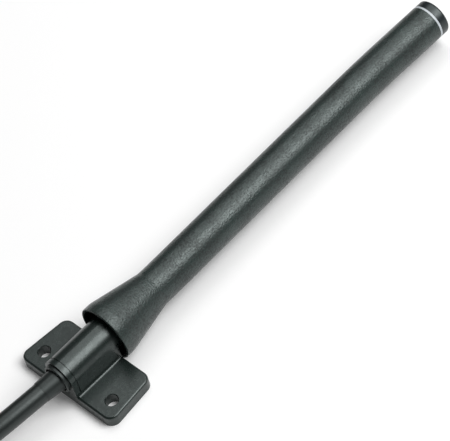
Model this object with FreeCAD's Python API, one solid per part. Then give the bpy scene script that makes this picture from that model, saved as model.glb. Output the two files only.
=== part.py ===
import FreeCAD, Part
import math
import os

# Whip antenna on a flange mount: a moulded whip sleeve with a bell mouth screws onto a coaxial
# jack in the barrel of a two-screw flange mount, and a round cable leaves the barrel's other end.
# Millimetres. X runs along the barrel towards the whip's tip, Z is up, and Z = 0 is the mounting
# face. The origin lies on that face, midway between the two screw holes.

# Flange plate
plate_thickness = 3.0
plate_near_width = 31.2
plate_far_width = 28.4
plate_near_x = -4.5
plate_far_x = 10.1
plate_corner_radius = 2.3
plate_edge_radius = 0.55
screw_spacing = 22.7
screw_hole_diameter = 3.2
screw_hole_chamfer = 0.12

# Barrel
axis_height = 7.6
barrel_diameter = 9.0
barrel_nose_length = 4.9
barrel_bore_diameter = 6.8
barrel_foot_radius = 0.7
barrel_line_offset = 1.25
barrel_line_width = 0.35
barrel_line_depth = 0.2

# Cable bush and strain relief
bush_flange_diameter = 7.6
bush_flange_length = 0.85
bush_flange_gap = 0.12
bush_edge_radius = 0.25
bush_plug_diameter = 7.3
bush_plug_length = 4.5
bush_mouth_diameter = 6.6
bush_mouth_depth = 1.6
relief_root_diameter = 5.9
relief_tip_diameter = 5.2
relief_length = 4.5
relief_root_depth = 1.4
relief_room = 0.15
cable_yaw = 4.0

# Jack in the barrel
jack_flange_diameter = 8.4
jack_flange_thickness = 1.0
jack_thread_diameter = 6.35
jack_thread_length = 5.5
jack_press_length = 3.2
jack_bore_diameter = 4.6
jack_bore_depth = 2.6
contact_diameter = 1.27
contact_bore_diameter = 0.96
contact_bore_depth = 2.6

# Crimped joint between the cable and a connector
stem_diameter = 5.0
stem_bore_diameter = 3.1
stem_length = 5.0
ferrule_wall = 0.45
ferrule_length = 6.5

# Cable
cable_diameter = 5.0
cable_core_diameter = 2.95
cable_conductor_diameter = 0.9
cable_core_bare_length = 0.6
cable_bend_overlap = 0.2

# Whip sleeve
bell_diameter = 14.8
bell_lip_length = 2.3
bell_shoulder_radius = 7.0
bell_length = 15.6
bell_mouth_gap = 0.3
bell_wall = 0.8
bell_cavity_depth = 6.0
bell_cavity_end_diameter = 11.0
bell_rim_radius = 0.25
neck_radius = 3.0
tube_diameter = 9.6
tube_wall = 1.4
whip_length = 116.9
cap_length = 2.5
ring_width = 0.55
cap_edge_radius = 0.6
cap_spigot_length = 5.5
cap_spigot_wall = 1.2

# The whip leans a little sideways beyond both its neck and the shell moulded into it, and bends
# back three quarters of the way up
lean_angle = 1.1
lean_bend_gap = 0.9
stem_bend_gap = 0.5
lean_bend_length = 6.0
bow_angle = 2.2
bow_bend_start = 87.0
bow_bend_length = 12.0

# Plug shell moulded into the bell, and the seal in front of it
shell_diameter = 8.8
shell_head_length = 5.0
shell_neck_diameter = 7.0
shell_neck_length = 4.4
shell_stem_diameter = 4.2
shell_stem_bore_diameter = 2.8
shell_stem_length = 4.5
shell_bore_depth = 5.5
tip_diameter = 4.4
tip_bore_diameter = 3.9
shell_tip_length = 1.9
seal_thickness = 0.6
seal_diameter = 8.0
pin_diameter = 0.9
pin_reach = 3.2
pin_shank_diameter = 1.27
pin_crimp_length = 0.5
bead_recess = 1.0

# Radiating parts in the tube
feed_coax_diameter = 2.5
feed_coax_inset = 1.0
dipole_tube_diameter = 5.8
dipole_tube_wall = 0.4
dipole_tube_start = 35.0
dipole_tube_length = 28.0
feed_insulator_length = 3.0
rod_diameter = 1.6
rod_length = 22.0
rod_root_length = 1.6
spacer_length = 2.5

# Coupling plug on the cable's far end
boot_length = 12.0
boot_root_diameter = 6.2
boot_end_diameter = 7.6
boot_grip_length = 3.0
plug_collar_diameter = 7.0
plug_collar_length = 1.5
plug_waist_diameter = 5.3
plug_waist_length = 2.6
plug_shoulder_length = 1.1
plug_tip_length = 2.2
plug_pin_reach = 1.3
nut_across_flats = 8.0
nut_length = 7.6
nut_lip_length = 1.5
snap_ring_diameter = 6.2
snap_ring_thickness = 0.5
gasket_thickness = 0.6

# Oval coil of the put-away cable, its tie, and where they lie on the floor
cable_first_run = 14.5
coil_fold_radius = 17.5
coil_straight_length = 64.0
coil_columns = 2
coil_rows = 3
coil_near_x = -62.5
coil_centre_y = -7.0
coil_lift = 0.5
coil_leave_run = 5.0
tie_thickness = 0.45
tie_width = 7.0
tie_x = -108.0
plug_axis_height = 4.7
arc_share = 0.45

# Clearances
running_clearance = 0.05
fit_clearance = 0.03
seat_gap = 0.05
same_place = 1e-4

V = FreeCAD.Vector
Rot = FreeCAD.Rotation
Place = FreeCAD.Placement
X_AXIS = V(1, 0, 0)
Z_AXIS = V(0, 0, 1)

barrel_radius = barrel_diameter / 2
mouth_x = plate_far_x + bell_mouth_gap
nose_x = plate_far_x + barrel_nose_length
jack_face_x = nose_x + jack_flange_thickness
tube_radius = tube_diameter / 2
bore_radius = tube_radius - tube_wall
cap_start = whip_length - cap_length
ring_start = cap_start - ring_width
shell_start = jack_face_x + 2 * seat_gap + seal_thickness - mouth_x
shell_neck_start = shell_start + shell_head_length
shell_stem_start = shell_neck_start + shell_neck_length
shell_end = shell_stem_start + shell_stem_length
lean_bend_start = max(bell_length + lean_bend_gap, shell_stem_start + stem_bend_gap)
thread_bore_diameter = jack_thread_diameter + 2 * running_clearance
whip_tip_s = shell_start + shell_bore_depth - shell_tip_length
whip_bead_end = shell_stem_start - bead_recess
whip_pin_end = shell_stem_start + pin_crimp_length
feed_s = dipole_tube_start + dipole_tube_length
rod_gap = feed_insulator_length - rod_root_length

stem_x = nose_x - jack_press_length - stem_length
jack_insulator_x = nose_x - jack_press_length
jack_insulator_end = jack_face_x + jack_thread_length - jack_bore_depth
bush_face_x = plate_near_x - bush_flange_gap - bush_flange_length

plug_stem_x = boot_length + seat_gap - stem_length
collar_end = boot_length + seat_gap + plug_collar_length
waist_end = collar_end + plug_waist_length
shoulder_end = waist_end + plug_shoulder_length
plug_tip_end = shoulder_end + plug_tip_length

coil_far_x = coil_near_x - coil_straight_length
coil_outer_radius = coil_fold_radius + (coil_columns - 1) * cable_diameter / 2
coil_inner_radius = coil_fold_radius - (coil_columns - 1) * cable_diameter / 2
coil_low_z = coil_lift + cable_diameter / 2

barrel_place = Place(V(0, 0, axis_height), Rot())
cable_heading = 180 - cable_yaw
cable_direction = Rot(Z_AXIS, cable_heading).multVec(X_AXIS)
relief_place = Place(V(bush_face_x, 0, axis_height), Rot(Z_AXIS, cable_heading))

# The cable leaves the strain relief, sinks to the floor and runs into the coil's outer turn. Its
# other end leaves the coil's lowest turn on the inside and ends in the plug, inside the oval.
cable_exit = relief_place.Base + cable_direction * relief_length
coil_entry = V(coil_near_x, coil_centre_y + coil_outer_radius, coil_low_z)
cable_route = [
    cable_exit,
    cable_exit + cable_direction * cable_first_run,
    V(-36.2, 4.2, 5.9),
    V(-45.5, 8.5, 3.6),
    V(-53.9, 12.0, 2.95),
    coil_entry,
]
coil_leave = V(coil_far_x + coil_leave_run, coil_centre_y - coil_inner_radius, coil_low_z)
tail_route = [
    coil_leave,
    V(-113.4, -21.1, 3.0),
    V(-104.9, -18.3, 3.2),
    V(-96.2, -14.6, 4.0),
    V(-87.3, -11.6, plug_axis_height),
    V(-79.2, -9.8, plug_axis_height),
]
tail_end = tail_route[-1] - tail_route[-2]
plug_heading = math.degrees(math.atan2(tail_end.y, tail_end.x))
plug_place = Place(tail_route[-1], Rot(Z_AXIS, plug_heading))


def turned(profile):
    """A solid of revolution about the X axis through the origin, from its (x, radius) outline."""
    points = [V(x, 0, r) for x, r in profile]
    wire = Part.makePolygon(points + [points[0]])
    return Part.Face(wire).revolve(V(0, 0, 0), X_AXIS, 360)


def rod(x0, x1, diameter):
    """A cylinder along X from x0 to x1."""
    return Part.makeCylinder(diameter / 2, x1 - x0, V(x0, 0, 0), X_AXIS)


def tube(x0, x1, outer, inner):
    """A plain tube along X from x0 to x1, with its outer and inner diameters."""
    return rod(x0, x1, outer).cut(rod(x0, x1, inner))


def cone(x0, x1, d0, d1):
    """A cone frustum along X, from diameter d0 at x0 to d1 at x1."""
    return Part.makeCone(d0 / 2, d1 / 2, x1 - x0, V(x0, 0, 0), X_AXIS)


def rounded_turned(outline):
    """A solid of revolution about X whose outline's corners (x, radius, corner radius) are rounded."""
    points = [V(x, 0, r) for x, r, corner in outline]
    edges, joints = [], []
    for k, (x, r, corner) in enumerate(outline):
        here, before, after = points[k], points[k - 1], points[(k + 1) % len(points)]
        back, on = before - here, after - here
        back.normalize()
        on.normalize()
        half_turn = (math.pi - back.getAngle(on)) / 2
        reach = corner * math.tan(half_turn)
        enter, leave = here + back * reach, here + on * reach
        if corner > 0:
            inward = back + on
            inward.normalize()
            middle = here + inward * (corner / math.cos(half_turn) - corner)
            edges.append(Part.Arc(enter, middle, leave).toShape())
        joints.append((enter, leave))
    for k, (enter, leave) in enumerate(joints):
        edges.append(Part.LineSegment(joints[k - 1][1], enter).toShape())
    wire = Part.Wire(Part.__sortEdges__(edges))
    return Part.Face(wire).revolve(V(0, 0, 0), X_AXIS, 360)


def round_edges(shape, radius, wanted):
    """Fillet the edges for which wanted(edge) is true."""
    return shape.makeFillet(radius, [edge for edge in shape.Edges if wanted(edge)])


def circle_at(edge, x, radius):
    """True for a circular edge about X at this x with this radius."""
    curve = edge.Curve
    if curve.TypeId != "Part::GeomCircle" or abs(curve.Radius - radius) > same_place:
        return False
    return abs(curve.Center.x - x) < same_place and abs(abs(curve.Axis.x) - 1) < same_place


def placed(shape, place):
    """A copy of the shape, moved to a placement."""
    moved = shape.copy()
    moved.Placement = place.multiply(moved.Placement)
    return moved


def hexagon(x0, x1, across_flats):
    """A hexagonal bar along X with two flats facing up and down."""
    corner = across_flats / math.sqrt(3)
    angles = [math.radians(60 * k) for k in range(7)]
    outline = Part.makePolygon([V(x0, corner * math.cos(a), corner * math.sin(a)) for a in angles])
    return Part.Face(outline).extrude(V(x1 - x0, 0, 0))


def whip_heading(s):
    """Sideways heading of the whip's axis, in degrees, at distance s from the bell's mouth."""
    lean_share = min(max((s - lean_bend_start) / lean_bend_length, 0), 1)
    bow_share = min(max((s - bow_bend_start) / bow_bend_length, 0), 1)
    return lean_angle * lean_share - bow_angle * bow_share


def whip_knots():
    """Distances along the whip's axis where a straight stretch meets a bend."""
    lean_end = lean_bend_start + lean_bend_length
    bow_end = bow_bend_start + bow_bend_length
    return [lean_bend_start, lean_end, bow_bend_start, bow_end]


def whip_place(s):
    """Placement on the whip's axis at distance s from the bell's mouth, its X along the axis."""
    point = V(mouth_x, 0, axis_height)
    stops = [0] + [k for k in whip_knots() if k < s] + [s]
    for a, b in zip(stops[:-1], stops[1:]):
        start, end = math.radians(whip_heading(a)), math.radians(whip_heading(b))
        half_turn = (end - start) / 2
        chord = (b - a) * (math.sin(half_turn) / half_turn if abs(half_turn) > same_place else 1)
        middle = (start + end) / 2
        point = point + V(math.cos(middle), math.sin(middle), 0) * chord
    return Place(point, Rot(Z_AXIS, whip_heading(s)))


def whip_spine(s0, s1):
    """The whip's axis from s0 to s1 as straight lines and tangent arcs."""
    stops = [s0] + [k for k in whip_knots() if s0 < k < s1] + [s1]
    edges = []
    for a, b in zip(stops[:-1], stops[1:]):
        start, middle, end = [whip_place(s).Base for s in (a, (a + b) / 2, b)]
        if abs(whip_heading(a) - whip_heading(b)) < same_place:
            edges.append(Part.LineSegment(start, end).toShape())
        else:
            edges.append(Part.Arc(start, middle, end).toShape())
    return Part.Wire(edges)


def whip_bar(s0, s1, diameter):
    """A round bar that follows the whip's axis from s0 to s1."""
    start = whip_place(s0)
    circle = Part.Circle(start.Base, start.Rotation.multVec(X_AXIS), diameter / 2)
    profile = Part.Wire([circle.toShape()])
    return whip_spine(s0, s1).makePipeShell([profile], True, True)


def on_whip(shape, s0, s1):
    """Place a straight piece, made from s0 to s1 along X, on the whip's axis at its middle."""
    middle = (s0 + s1) / 2
    return placed(shape, whip_place(middle).multiply(Place(V(-middle, 0, 0), Rot())))


def flange_mount():
    """Barrel and two-eared plate, moulded in one piece."""
    near, far = plate_near_width / 2, plate_far_width / 2
    corners = [
        V(plate_near_x, -near, 0),
        V(plate_far_x, -far, 0),
        V(plate_far_x, far, 0),
        V(plate_near_x, near, 0),
    ]
    outline = Part.Face(Part.makePolygon(corners + [corners[0]]))
    plate = outline.extrude(V(0, 0, plate_thickness))
    middle = plate_thickness / 2
    plate = round_edges(plate, plate_corner_radius, lambda e: abs(e.CenterOfMass.z - middle) < same_place)
    plate = round_edges(plate, plate_edge_radius, lambda e: min(v.Z for v in e.Vertexes) > middle)
    pedestal = arch(plate_near_x, plate_far_x - plate_near_x, barrel_diameter, 0)
    body = plate.fuse(pedestal).fuse([foot_cove(side) for side in (-1, 1)])
    body = body.fuse(placed(rod(plate_near_x, nose_x, barrel_diameter), barrel_place)).removeSplitter()
    body = body.cut(placed(rod(plate_near_x, nose_x, barrel_bore_diameter), barrel_place))
    bush_seat = rod(plate_near_x, plate_near_x + bush_plug_length, bush_plug_diameter)
    body = body.cut(placed(bush_seat, barrel_place)).cut(line_groove())
    for side in (-1, 1):
        centre = V(0, side * screw_spacing / 2, 0)
        hole_radius = screw_hole_diameter / 2
        body = body.cut(Part.makeCylinder(hole_radius, plate_thickness, centre))
        rim_base = centre + V(0, 0, plate_thickness - screw_hole_chamfer)
        rim = Part.makeCone(hole_radius, hole_radius + screw_hole_chamfer, screw_hole_chamfer, rim_base)
        body = body.cut(rim)
    return body


def foot_cove(side):
    """Rounded inner corner where the barrel's wall meets an ear."""
    length = plate_far_x - plate_near_x - 2 * plate_edge_radius
    reach = barrel_foot_radius
    low_y = barrel_radius if side > 0 else -barrel_radius - reach
    start = V(plate_near_x + plate_edge_radius, low_y, plate_thickness)
    block = Part.makeBox(length, reach, reach, start)
    centre = V(start.x, side * (barrel_radius + reach), plate_thickness + reach)
    return block.cut(Part.makeCylinder(reach, length, centre, X_AXIS))


def arch(start, length, width, foot):
    """Round-topped bar about the barrel's axis, with upright walls down to height foot."""
    wall = Part.makeBox(length, width, axis_height - foot, V(start, -width / 2, foot))
    return wall.fuse(placed(rod(start, start + length, width), barrel_place)).removeSplitter()


def line_groove():
    """Fine line over the barrel, near its cable end, of one depth over its round top and its walls."""
    start = plate_near_x + barrel_line_offset
    foot = plate_thickness + barrel_foot_radius
    outer = arch(start, barrel_line_width, barrel_diameter + 2 * barrel_line_depth, foot)
    inner = arch(start, barrel_line_width, barrel_diameter - 2 * barrel_line_depth, foot)
    under_foot = Part.makeBox(barrel_line_width, barrel_diameter, foot, V(start, -barrel_radius, 0))
    return outer.cut(inner).cut(under_foot)


def cable_bush():
    """Bush in the barrel's cable end: a plug with a flange and a flared mouth."""
    flange = rod(bush_face_x, bush_face_x + bush_flange_length, bush_flange_diameter)
    rim = bush_flange_diameter / 2
    flange = round_edges(flange, bush_edge_radius, lambda e: circle_at(e, bush_face_x, rim))
    plug_end = plate_near_x + bush_plug_length - seat_gap
    plug = rod(bush_face_x, plug_end, bush_plug_diameter - 2 * fit_clearance)
    bush = flange.fuse(plug).removeSplitter()
    mouth_end = relief_root_diameter + 2 * relief_room
    bush = bush.cut(cone(bush_face_x, bush_face_x + bush_mouth_depth, bush_mouth_diameter, mouth_end))
    return bush.cut(rod(bush_face_x, plug_end, cable_diameter + 4 * fit_clearance))


def strain_relief():
    """Tapered sleeve on the cable, rooted in the bush's mouth."""
    body = cone(-relief_root_depth, relief_length, relief_root_diameter, relief_tip_diameter)
    return body.cut(rod(-relief_root_depth, relief_length, cable_diameter + 2 * fit_clearance))


def cable_end_profile(jacket_start, jacket_end, core_end, conductor_end):
    """A stretch of cable whose jacket, core and conductor are stripped back in steps."""
    jacket, core, conductor = cable_diameter / 2, cable_core_diameter / 2, cable_conductor_diameter / 2
    outline = [(jacket_start, 0), (jacket_start, jacket), (jacket_end, jacket), (jacket_end, core)]
    outline += [(core_end, core), (core_end, conductor), (conductor_end, conductor), (conductor_end, 0)]
    return turned(outline)


def cable_inside():
    """The cable where the mount holds it, from the jack's crimp to the strain relief's tip."""
    core_end = jack_insulator_x - cable_core_bare_length
    straight = cable_end_profile(bush_face_x + relief_root_depth, stem_x - seat_gap, core_end,
                                 jack_insulator_x - seat_gap)
    held = rod(-relief_root_depth - cable_bend_overlap, relief_length, cable_diameter)
    held = placed(held, relief_place)
    return placed(straight, barrel_place).fuse(held).removeSplitter()


def ferrule(stem_start):
    """Crimp ferrule over a connector's stem, which starts there, and the end of the cable's jacket."""
    inner = stem_diameter + 4 * fit_clearance
    end = stem_start + stem_length - seat_gap
    return tube(end - ferrule_length, end, inner + 2 * ferrule_wall, inner)


def jack_body():
    """Coaxial jack: crimp stem, pressed shank, flange and threaded spigot."""
    press_x = nose_x - jack_press_length
    spigot_end = jack_face_x + jack_thread_length
    body = rod(stem_x, press_x, stem_diameter)
    body = body.fuse(rod(press_x, nose_x, barrel_bore_diameter - 2 * fit_clearance))
    body = body.fuse(rod(nose_x, jack_face_x, jack_flange_diameter))
    body = body.fuse(rod(jack_face_x, spigot_end, jack_thread_diameter)).removeSplitter()
    body = body.cut(rod(spigot_end - jack_bore_depth, spigot_end, jack_bore_diameter))
    return body.cut(rod(stem_x, spigot_end, stem_bore_diameter))


def jack_insulator():
    """Insulator in the jack, bored for its contact."""
    body = rod(jack_insulator_x, jack_insulator_end, stem_bore_diameter - 2 * fit_clearance)
    return body.cut(rod(jack_insulator_x, jack_insulator_end, contact_diameter + 2 * fit_clearance))


def jack_contact():
    """Centre contact, bored for the whip's pin."""
    body = rod(jack_insulator_x, jack_insulator_end, contact_diameter)
    bore_start = jack_insulator_end - contact_bore_depth
    return body.cut(rod(bore_start, jack_insulator_end, contact_bore_diameter))


def whip_sleeve():
    """Moulded sleeve: bell with a hollow mouth, cone, neck, and a long tube."""
    bell, tube_r = bell_diameter / 2, tube_diameter / 2
    mouth = bell - bell_wall
    outline = [
        (0, mouth, bell_rim_radius),
        (0, bell, bell_rim_radius),
        (bell_lip_length, bell, bell_shoulder_radius),
        (bell_length, tube_r, neck_radius),
        (lean_bend_start, tube_r, 0),
        (lean_bend_start, bore_radius, 0),
        (shell_stem_start, bore_radius, 0),
        (shell_stem_start, shell_neck_diameter / 2, 0),
        (shell_neck_start, shell_neck_diameter / 2, 0),
        (shell_neck_start, shell_diameter / 2, 0),
        (bell_cavity_depth, shell_diameter / 2, 0),
        (bell_cavity_depth, bell_cavity_end_diameter / 2, 0),
    ]
    bell_part = placed(rounded_turned(outline), whip_place(0))
    stem = whip_bar(lean_bend_start, ring_start, tube_diameter)
    stem = stem.cut(whip_bar(lean_bend_start, ring_start, 2 * bore_radius))
    return bell_part.fuse(stem).removeSplitter()


def tip_cap():
    """Tip cap with a hollow spigot inside the tube."""
    head = rod(cap_start, whip_length, tube_diameter)
    head = round_edges(head, cap_edge_radius, lambda e: circle_at(e, whip_length, tube_radius))
    spigot_start = ring_start - cap_spigot_length
    spigot = rod(spigot_start, cap_start, 2 * (bore_radius - fit_clearance))
    hollow = rod(spigot_start, cap_start, 2 * (bore_radius - fit_clearance - cap_spigot_wall))
    cap = head.fuse(spigot).removeSplitter().cut(hollow)
    return on_whip(cap, spigot_start, whip_length)


def indicator_ring():
    """Thin pale ring between the sleeve and the tip cap, flush with both."""
    return on_whip(tube(ring_start, cap_start, tube_diameter, 2 * bore_radius), ring_start, cap_start)


def whip_shell():
    """Plug shell moulded into the bell: threaded bore, inner tip and crimp stem."""
    neck, stem = shell_neck_diameter / 2, shell_stem_diameter / 2
    bore_end = shell_start + shell_bore_depth
    outline = [
        (shell_start, thread_bore_diameter / 2),
        (shell_start, shell_diameter / 2 - fit_clearance),
        (shell_neck_start - fit_clearance, shell_diameter / 2 - fit_clearance),
        (shell_neck_start - fit_clearance, neck - fit_clearance),
        (shell_stem_start - fit_clearance, neck - fit_clearance),
        (shell_stem_start - fit_clearance, stem),
        (shell_end, stem),
        (shell_end, shell_stem_bore_diameter / 2),
        (shell_stem_start, shell_stem_bore_diameter / 2),
        (shell_stem_start, tip_bore_diameter / 2),
        (bore_end - shell_tip_length, tip_bore_diameter / 2),
        (bore_end - shell_tip_length, tip_diameter / 2),
        (bore_end, tip_diameter / 2),
        (bore_end, thread_bore_diameter / 2),
    ]
    return placed(turned(outline), whip_place(0))


def whip_seal():
    """Flat washer between the jack's flange and the whip's plug shell."""
    start = jack_face_x + seat_gap
    seal = tube(start, start + seal_thickness, seal_diameter, thread_bore_diameter)
    return placed(seal, barrel_place)


def insulator_bead(start, end):
    """Insulator between a plug's shell and its pin."""
    body = rod(start, end, tip_bore_diameter - 2 * fit_clearance)
    return body.cut(rod(start, end, pin_shank_diameter + 2 * fit_clearance))


def centre_pin(tip_x, shank_x, end_x):
    """A plug's centre pin: a thin tip from tip_x to shank_x, and a thicker shank from there to end_x."""
    thin = rod(min(tip_x, shank_x), max(tip_x, shank_x), pin_diameter)
    shank = rod(min(shank_x, end_x), max(shank_x, end_x), pin_shank_diameter)
    return thin.fuse(shank).removeSplitter()


def feed_coax():
    """Thin cable from the plug shell to the feed point, its conductor bare at both ends."""
    jacket = whip_bar(shell_stem_start + feed_coax_inset, feed_s - seat_gap, feed_coax_diameter)
    conductor = whip_bar(whip_pin_end + seat_gap, feed_s + rod_gap - seat_gap, cable_conductor_diameter)
    return jacket.fuse(conductor).removeSplitter()


def dipole_tube():
    """Lower radiating tube, closed at the feed point round the feed cable."""
    outer, inner = dipole_tube_diameter, dipole_tube_diameter - 2 * dipole_tube_wall
    start, end = dipole_tube_start, feed_s
    body = rod(start, end, outer).cut(rod(start, end - 2 * dipole_tube_wall, inner))
    body = body.cut(rod(start, end, feed_coax_diameter + 4 * fit_clearance))
    return on_whip(body, start, end)


def feed_insulator():
    """Insulator between the lower tube and the upper rod."""
    start, end = feed_s, feed_s + feed_insulator_length
    body = rod(start, end, dipole_tube_diameter)
    body = body.cut(rod(start, end, cable_conductor_diameter + 4 * fit_clearance))
    body = body.cut(rod(start + rod_gap - seat_gap, end, rod_diameter + 4 * fit_clearance))
    return on_whip(body, start, end)


def upper_rod():
    """Upper radiating rod."""
    start = feed_s + rod_gap
    return on_whip(rod(start, start + rod_length, rod_diameter), start, start + rod_length)


def spacer(start, hole):
    """Disc that centres an inner piece in the tube."""
    outer = 2 * (bore_radius - running_clearance)
    body = tube(start, start + spacer_length, outer, hole + 4 * fit_clearance)
    return on_whip(body, start, start + spacer_length)


def plug_boot():
    """Tapered boot over the crimp, tight on the cable at its thin end."""
    body = cone(0, boot_length, boot_root_diameter, boot_end_diameter)
    body = body.cut(rod(0, boot_length, cable_diameter + 2 * fit_clearance))
    room = stem_diameter + 2 * ferrule_wall + 8 * fit_clearance
    return body.cut(rod(boot_grip_length, boot_length, room))


def plug_body():
    """Coupling plug's body: crimp stem, collar, waist for the nut, shoulder and tip."""
    shoulder = snap_ring_diameter / 2
    outline = [
        (plug_stem_x, stem_bore_diameter / 2),
        (plug_stem_x, stem_diameter / 2),
        (boot_length + seat_gap, stem_diameter / 2),
        (boot_length + seat_gap, plug_collar_diameter / 2),
        (collar_end, plug_collar_diameter / 2),
        (collar_end, plug_waist_diameter / 2),
        (waist_end, plug_waist_diameter / 2),
        (waist_end, shoulder),
        (shoulder_end, shoulder),
        (shoulder_end, tip_diameter / 2),
        (plug_tip_end, tip_diameter / 2),
        (plug_tip_end, tip_bore_diameter / 2),
        (collar_end, tip_bore_diameter / 2),
        (collar_end, stem_bore_diameter / 2),
    ]
    return turned(outline)


def coupling_nut():
    """Hexagonal coupling nut with a lip behind the snap ring."""
    start = collar_end + running_clearance
    end = start + nut_length
    corner = nut_across_flats / math.sqrt(3)
    blank = hexagon(start, end, nut_across_flats)
    chamfer = corner - nut_across_flats / 2
    outline = [
        (start, 0),
        (start, corner - chamfer),
        (start + chamfer, corner + running_clearance),
        (end - chamfer, corner + running_clearance),
        (end, corner - chamfer),
        (end, 0),
    ]
    nut = blank.common(turned(outline))
    nut = nut.cut(rod(start, end, plug_waist_diameter + 2 * running_clearance))
    return nut.cut(rod(start + nut_lip_length, end, thread_bore_diameter))


def snap_ring():
    """Ring in the waist that holds the coupling nut on the body."""
    start = collar_end + nut_lip_length + 2 * running_clearance
    outer = snap_ring_diameter
    return tube(start, start + snap_ring_thickness, outer, plug_waist_diameter + 2 * fit_clearance)


def plug_gasket():
    """Sealing ring on the body's shoulder."""
    inner = tip_diameter + 2 * fit_clearance
    return tube(shoulder_end, shoulder_end + gasket_thickness, snap_ring_diameter, inner)


def route_wire(points):
    """Straight runs joined by tangent arcs, each as large as its two runs allow."""
    edges = []
    start = points[0]
    for before, corner, after in zip(points[:-2], points[1:-1], points[2:]):
        back, on = before - corner, after - corner
        reach = arc_share * min(back.Length, on.Length)
        back.normalize()
        on.normalize()
        half_turn = (math.pi - back.getAngle(on)) / 2
        radius = reach / math.tan(half_turn)
        print("cable turn %.1f deg, radius %.1f mm" % (math.degrees(2 * half_turn), radius))
        enter, leave = corner + back * reach, corner + on * reach
        inward = back + on
        inward.normalize()
        middle = corner + inward * (radius / math.cos(half_turn) - radius)
        edges += [Part.LineSegment(start, enter).toShape(), Part.Arc(enter, middle, leave).toShape()]
        start = leave
    edges.append(Part.LineSegment(start, points[-1]).toShape())
    return Part.Wire(edges)


def cable_tube(points):
    """Round cable along a route."""
    spine = route_wire(points)
    direction = points[1] - points[0]
    circle = Part.Circle(points[0], direction, cable_diameter / 2)
    solid = spine.makePipeShell([Part.Wire([circle.toShape()])], True, True)
    expected = math.pi * (cable_diameter / 2) ** 2 * spine.Length
    share = solid.Volume / expected
    print("cable run %.1f mm, volume over section times length %.4f" % (spine.Length, share))
    return solid


def stadium(radius, low_z, height):
    """Upright block with two straight sides and two round ends, centred on the coil."""
    near = V(coil_near_x, coil_centre_y, low_z)
    far = V(coil_far_x, coil_centre_y, low_z)
    side, end = V(0, radius, 0), V(radius, 0, 0)
    edges = [
        Part.LineSegment(near + side, far + side),
        Part.Arc(far + side, far - end, far - side),
        Part.LineSegment(far - side, near - side),
        Part.Arc(near - side, near + end, near + side),
    ]
    outline = Part.Wire([edge.toShape() for edge in edges])
    return Part.Face(outline).extrude(V(0, 0, height))


def corner_bevel(margin):
    """Bevel that touches the cable's corner turns, or runs at a margin outside them."""
    return (2 - math.sqrt(2)) * (cable_diameter / 2 + margin)


def coil_ring():
    """Outer shape of the cable's oval coil."""
    height = coil_rows * cable_diameter
    outer = stadium(coil_outer_radius + cable_diameter / 2, coil_lift, height)
    ring = outer.cut(stadium(coil_inner_radius - cable_diameter / 2, coil_lift, height))
    rims = [edge for edge in ring.Edges if abs(edge.CenterOfMass.z - coil_lift - height / 2) > height / 3]
    return ring.makeChamfer(corner_bevel(0), rims)


def coil_sleeve(margin):
    """Block round both sides of the coil at its tie, grown by a margin."""
    half_width = coil_outer_radius + cable_diameter / 2 + margin
    height = coil_rows * cable_diameter + 2 * margin
    corner = V(tie_x - tie_width / 2, coil_centre_y - half_width, coil_lift - margin)
    block = Part.makeBox(tie_width, 2 * half_width, height, corner)
    long_edges = [edge for edge in block.Edges if abs(edge.CenterOfMass.x - tie_x) < same_place]
    long_edges = [edge for edge in long_edges if edge.Vertexes[0].X != edge.Vertexes[-1].X]
    return block.makeChamfer(corner_bevel(margin), long_edges)


def coil_tie():
    """Strap round both sides of the coil."""
    return coil_sleeve(seat_gap + tie_thickness).cut(coil_sleeve(seat_gap))


def make_parts():
    """Every sub-part by its node name."""
    upper_spacer_s = feed_s + rod_gap + rod_length - spacer_length
    lower_spacer_s = dipole_tube_start - spacer_length - seat_gap
    pin_tip = plug_tip_end + plug_pin_reach
    plug_core_end = collar_end - cable_core_bare_length
    plug_conductor_end = collar_end - seat_gap
    mount_pieces = {
        "jack_body": jack_body(),
        "jack_insulator": jack_insulator(),
        "jack_contact": jack_contact(),
        "jack_ferrule": ferrule(stem_x),
        "cable_bush": cable_bush(),
    }
    whip_core = {
        "whip_insulator": insulator_bead(whip_tip_s, whip_bead_end),
        "whip_pin": centre_pin(whip_tip_s - pin_reach, whip_tip_s, whip_pin_end),
    }
    plug_pieces = {
        "plug_boot": plug_boot(),
        "plug_ferrule": ferrule(plug_stem_x),
        "plug_cable_end": cable_end_profile(0, plug_stem_x - seat_gap, plug_core_end, plug_conductor_end),
        "plug_body": plug_body(),
        "plug_nut": coupling_nut(),
        "plug_snap_ring": snap_ring(),
        "plug_gasket": plug_gasket(),
        "plug_insulator": insulator_bead(collar_end, plug_tip_end),
        "plug_pin": centre_pin(pin_tip, plug_tip_end, collar_end),
    }
    parts = {
        "flange_mount": flange_mount(),
        "strain_relief": placed(strain_relief(), relief_place),
        "cable_inside": cable_inside(),
        "whip_sleeve": whip_sleeve(),
        "indicator_ring": indicator_ring(),
        "tip_cap": tip_cap(),
        "whip_shell": whip_shell(),
        "whip_seal": whip_seal(),
        "feed_coax": feed_coax(),
        "dipole_tube": dipole_tube(),
        "feed_insulator": feed_insulator(),
        "upper_rod": upper_rod(),
        "lower_spacer": spacer(lower_spacer_s, feed_coax_diameter),
        "upper_spacer": spacer(upper_spacer_s, rod_diameter),
        "cable": cable_tube(cable_route),
        "cable_coil": coil_ring(),
        "cable_tail": cable_tube(tail_route),
        "coil_tie": coil_tie(),
    }
    groups = [(mount_pieces, barrel_place), (whip_core, whip_place(0)), (plug_pieces, plug_place)]
    for group, place in groups:
        for name, shape in group.items():
            parts[name] = placed(shape, place)
    return parts


os.makedirs("parts", exist_ok=True)
for node, solid in make_parts().items():
    solid.exportStep("parts/%s.step" % node)
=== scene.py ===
import math

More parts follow.
